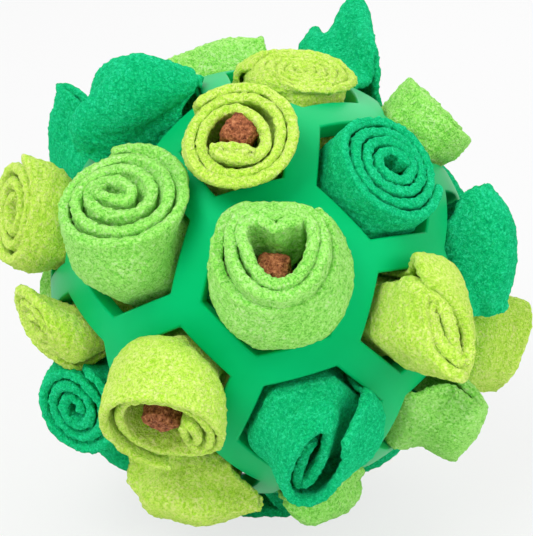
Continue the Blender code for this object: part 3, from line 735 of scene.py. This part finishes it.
folded(
    "lime_petal_lower_left", facing=(-28, -45), path=up_and_over, out=0.9, wide=1.15,
    crests=((0.45, 0.55), (1.0, 1.1), (1.1, 1.25), (0.6, 0.5)),
    seed=88, turned=75, lean=(0.15, -0.1), wave=0.0034,
)
folded(
    "dark_fold_lower_left", facing=(-82, -45), path=up_and_over, out=0.6, wide=1.0,
    crests=(0.9, 1.0, 1.0, 0.9), seed=92, turned=20,
)
# This strip holds the ball up on the paper. Its dark fleece is also painted shade: the bit that
# shows between the front flaps stands in for the shade under the ball.
folded(
    "dark_fold_bottom", facing=(-87, -82), path=low_and_over, out=0.7, wide=0.72,
    crests=(1, 1, 1, 1), seed=96, turned=90, lean=(0, -0.44),
    pinch=0.35, lowest=0.0002, wave=0,
)


# The other holes, on the far side, are filled in the same way: each has a strip of one of the
# three fleeces, wound evenly and pushed in. A row is (name, facing, out, bulge, edge, flat).
far_turns = 2.75
far_hollow = (0.20, 0.16)
far_first_seed = 20
far_rolls = (
    ("light_roll_left_back", (-103, -12), 0.35, 1.10, 0.93, (0.021, 0.20)),
    ("lime_roll_back_low_left", (-135, -43), 0.60, 1.10, 0.93, (0.026, 0.19)),
    ("dark_roll_low_right", (100, -56), 0.30, 1.10, 0.83, (0.020, 0.20)),
    ("light_roll_low_back", (168, -55), 0.92, 1.30, 1.03, (0.031, 0.14)),
    ("dark_roll_back", (-177, -20), 0.90, 1.10, 0.93, (0.029, 0.20)),
    ("lime_roll_back_right", (138, -25), 0.90, 1.10, 0.93, (0.029, 0.20)),
    ("light_roll_back_upper", (-166, 21), 0.90, 1.10, 0.93, (0.029, 0.20)),
    ("lime_bud_back_left", (-141, -6), 0.90, 1.30, 1.03, (0.029, 0.15)),
    ("lime_roll_back_middle", (157, 8), 0.90, 1.30, 1.03, (0.029, 0.15)),
    ("dark_roll_right_back", (120, 13), 0.30, 1.10, 0.93, (0.021, 0.20)),
)
for number, (name, facing, out, bulge, edge, flat) in enumerate(far_rolls):
    plain_roll(
        name, facing, far_turns, out, hollow=far_hollow, edge=(edge, edge), rise=0.1,
        flat=flat, seed=far_first_seed + number, bulge=(bulge, bulge), cell=0.0016, rows=20,
    )


# Each treat is a piece of dry kibble, pressed and baked hard into a rough cube. It lies loose in
# its roll, and the roll's inner turn holds it.
crumb_voxel = 0.0002
lump_size, lump_depth = 0.0022, 0.0010
crumb_size, crumb_depth = 0.0006, 0.0004


def kibble_material():
    """Baked kibble: a coarse crumb with darker pits and a few glints of fat."""
    made = bpy.data.materials.new("baked_kibble")
    made.use_nodes = True
    nodes, links = made.node_tree.nodes, made.node_tree.links
    shader = nodes["Principled BSDF"]
    shader.inputs["Specular IOR Level"].default_value = 0.35
    place = nodes.new("ShaderNodeTexCoord")
    crumb = nodes.new("ShaderNodeTexNoise")
    crumb.inputs["Scale"].default_value = 1100
    crumb.inputs["Detail"].default_value = 5
    crumb.inputs["Roughness"].default_value = 0.7
    tint = nodes.new("ShaderNodeValToRGB")
    tint.color_ramp.elements[0].position = 0.36
    tint.color_ramp.elements[0].color = (0.08, 0.018, 0.006, 1)
    tint.color_ramp.elements[1].position = 0.72
    tint.color_ramp.elements[1].color = (0.75, 0.32, 0.13, 1)
    middle = tint.color_ramp.elements.new(0.52)
    middle.color = (0.37, 0.11, 0.038, 1)
    gloss = nodes.new("ShaderNodeMapRange")
    gloss.inputs["From Min"].default_value = 0.4
    gloss.inputs["From Max"].default_value = 0.7
    gloss.inputs["To Min"].default_value = 0.9
    gloss.inputs["To Max"].default_value = 0.4
    bump = nodes.new("ShaderNodeBump")
    bump.inputs["Strength"].default_value = 0.9
    bump.inputs["Distance"].default_value = 0.0005
    links.new(place.outputs["Object"], crumb.inputs["Vector"])
    links.new(crumb.outputs["Fac"], tint.inputs["Fac"])
    links.new(crumb.outputs["Fac"], gloss.inputs["Value"])
    links.new(crumb.outputs["Fac"], bump.inputs["Height"])
    links.new(tint.outputs["Color"], shader.inputs["Base Color"])
    links.new(gloss.outputs["Result"], shader.inputs["Roughness"])
    links.new(bump.outputs["Normal"], shader.inputs["Normal"])
    return made


kibble = kibble_material()
kibble_lumps = bpy.data.textures.new("kibble_lumps", "CLOUDS")
kibble_lumps.noise_scale = lump_size
kibble_crumbs = bpy.data.textures.new("kibble_crumbs", "CLOUDS")
kibble_crumbs.noise_scale = crumb_size
for node in ("treat_front", "treat_upper_front", "treat_lower_left"):
    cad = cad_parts[node]
    mesh = cad.data.copy()
    mesh.name = node + "_kibble"
    mesh.materials.clear()
    mesh.materials.append(kibble)
    treat = bpy.data.objects.new(node + "_kibble", mesh)
    bpy.context.scene.collection.objects.link(treat)
    remesh = treat.modifiers.new("crumb", "REMESH")
    remesh.mode = "VOXEL"
    remesh.voxel_size = crumb_voxel
    remesh.use_smooth_shade = True
    lumps = treat.modifiers.new("lumps", "DISPLACE")
    lumps.texture = kibble_lumps
    lumps.texture_coords = "LOCAL"
    lumps.strength = lump_depth
    crumbs = treat.modifiers.new("crumbs", "DISPLACE")
    crumbs.texture = kibble_crumbs
    crumbs.texture_coords = "LOCAL"
    crumbs.strength = crumb_depth
    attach(treat, node)
    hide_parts(node)


# The ball stands on a sheet of pale paper. The camera sees the paper brighter than the light
# that it sends back to the ball, so that the fleece stays in soft shade underneath.
paper_reach = 3.0


def seen_directly(nodes, links):
    """1 for what the camera sees, also in a gloss or through glass, and 0 for its light."""
    ray = nodes.new("ShaderNodeLightPath")
    either = nodes.new("ShaderNodeMath")
    either.operation = "MAXIMUM"
    any_of = nodes.new("ShaderNodeMath")
    any_of.operation = "MAXIMUM"
    links.new(ray.outputs["Is Camera Ray"], either.inputs[0])
    links.new(ray.outputs["Is Glossy Ray"], either.inputs[1])
    links.new(either.outputs["Value"], any_of.inputs[0])
    links.new(ray.outputs["Is Transmission Ray"], any_of.inputs[1])
    return any_of.outputs["Value"]


floor_mesh = bpy.data.meshes.new("floor")
floor_mesh.from_pydata(
    [(-paper_reach, -paper_reach, 0), (paper_reach, -paper_reach, 0),
     (paper_reach, paper_reach, 0), (-paper_reach, paper_reach, 0)], [], [(0, 1, 2, 3)],
)
floor = bpy.data.objects.new("floor", floor_mesh)
bpy.context.scene.collection.objects.link(floor)
paper = bpy.data.materials.new("pale_paper")
paper.use_nodes = True
nodes, links = paper.node_tree.nodes, paper.node_tree.links
paper_shader = nodes["Principled BSDF"]
paper_shader.inputs["Roughness"].default_value = 0.8
paper_shader.inputs["Specular IOR Level"].default_value = 0.1
paper_shader.inputs["Emission Color"].default_value = (1, 1, 1, 1)
seen = seen_directly(nodes, links)
glow = nodes.new("ShaderNodeMath")
glow.operation = "MULTIPLY"
glow.inputs[1].default_value = 0.745
paper_tone = nodes.new("ShaderNodeMix")
paper_tone.data_type = "RGBA"
paper_tone.inputs["A"].default_value = (0.85, 0.85, 0.85, 1)
paper_tone.inputs["B"].default_value = (0.16, 0.16, 0.16, 1)
links.new(seen, paper_tone.inputs["Factor"])
links.new(paper_tone.outputs["Result"], paper_shader.inputs["Base Color"])
links.new(seen, glow.inputs[0])
links.new(glow.outputs["Value"], paper_shader.inputs["Emission Strength"])
floor_mesh.materials.append(paper)


# The room is white, and three soft boxes light the ball: the key from the upper left, a fill from
# the right and a weak one from behind.
world = bpy.data.worlds.new("studio")
bpy.context.scene.world = world
world.use_nodes = True
nodes, links = world.node_tree.nodes, world.node_tree.links
soft_light = nodes["Background"]
soft_light.inputs["Color"].default_value = (1, 1, 1, 1)
soft_light.inputs["Strength"].default_value = 0.66
white = nodes.new("ShaderNodeBackground")
white.inputs["Color"].default_value = (0.955, 0.955, 0.955, 1)
mix = nodes.new("ShaderNodeMixShader")
links.new(seen_directly(nodes, links), mix.inputs["Fac"])
links.new(soft_light.outputs["Background"], mix.inputs[1])
links.new(white.outputs["Background"], mix.inputs[2])
links.new(mix.outputs["Shader"], nodes["World Output"].inputs["Surface"])

ball_middle = Vector((0, 0, ball_height))
soft_box_size = 0.6
for name, place, power in (
    ("key", (-0.45, -0.55, 0.95), 7.8),
    ("fill", (0.7, -0.5, 0.45), 2.8),
    ("back", (0.2, 0.8, 0.7), 3.0),
):
    lamp = bpy.data.lights.new(name, "AREA")
    lamp.size = soft_box_size
    lamp.energy = power
    stand = bpy.data.objects.new(name, lamp)
    stand.location = place
    stand.rotation_euler = (Vector(place) - ball_middle).to_track_quat("Z", "Y").to_euler()
    bpy.context.scene.collection.objects.link(stand)


# The camera stands in front, 20 degrees above the level of the ball's middle. Its focal length
# and shift are in pixels of the picture, whose longer side its film covers.
camera_elevation = math.radians(20)
camera_distance = 0.5424
picture_height = 536
focal_pixels = 1912.3
shift_pixels = (3, 12.6)
camera = bpy.data.cameras.new("camera")
camera.lens = camera.sensor_width * focal_pixels / picture_height
camera.shift_x = shift_pixels[0] / picture_height
camera.shift_y = shift_pixels[1] / picture_height
camera.clip_start = 0.01
toward_camera = Vector((0, -math.cos(camera_elevation), math.sin(camera_elevation)))
viewer = bpy.data.objects.new("camera", camera)
viewer.location = ball_middle + camera_distance * toward_camera
viewer.rotation_euler = toward_camera.to_track_quat("Z", "Y").to_euler()
bpy.context.scene.collection.objects.link(viewer)
bpy.context.scene.camera = viewer
bpy.context.scene.view_settings.view_transform = "Standard"
